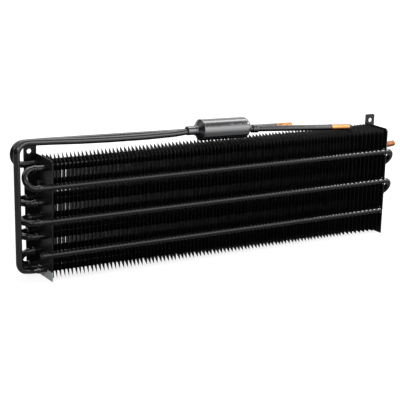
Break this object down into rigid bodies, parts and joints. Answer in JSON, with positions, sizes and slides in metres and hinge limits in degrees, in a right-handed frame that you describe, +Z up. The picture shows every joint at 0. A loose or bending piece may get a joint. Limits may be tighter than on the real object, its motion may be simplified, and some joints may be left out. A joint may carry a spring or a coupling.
{
  "type": "evaporator coil",
  "caption": "Black painted finned-tube evaporator coil with end plates, return bends, a suction line with accumulator and a liquid line; it cools the air of a cabinet",
  "frame": {"origin": "middle of the bottom of the overall box, level with the lower edges of the end plates", "axes": "+X along the tubes towards the end opposite the suction line, +Y from the front to the rear flanges, +Z up"},
  "size_m": [0.7036, 0.0612, 0.2135],
  "materials": {
    "black_paint": "semi-gloss",
    "fin_paint": "semi-gloss",
    "vessel_paint": "semi-gloss",
    "bare_copper": "satin",
    "plug_rubber": "matte"
  },
  "bodies": {
    "root": {"fin_pack": "fin_paint", "left_end_plate": "black_paint", "right_end_plate": "black_paint", "hairpin_front_top": "black_paint", "hairpin_front_middle": "black_paint", "hairpin_rear_top": "black_paint", "hairpin_rear_second": "black_paint", "hairpin_rear_third": "black_paint", "hairpin_rear_low": "black_paint", "return_bend_top": "black_paint", "return_bend_second": "black_paint", "return_bend_third": "black_paint", "return_bend_fourth": "black_paint", "return_bend_low": "black_paint", "front_tube_low": "black_paint", "spare_tube_left_end": "black_paint", "spare_tube_copper_end": "bare_copper", "suction_line": "black_paint", "accumulator": "vessel_paint", "outlet_tube": "black_paint", "outlet_copper_end": "bare_copper", "outlet_plug": "plug_rubber", "liquid_line": "black_paint", "liquid_copper_end": "bare_copper"}
  },
  "joints": []
}
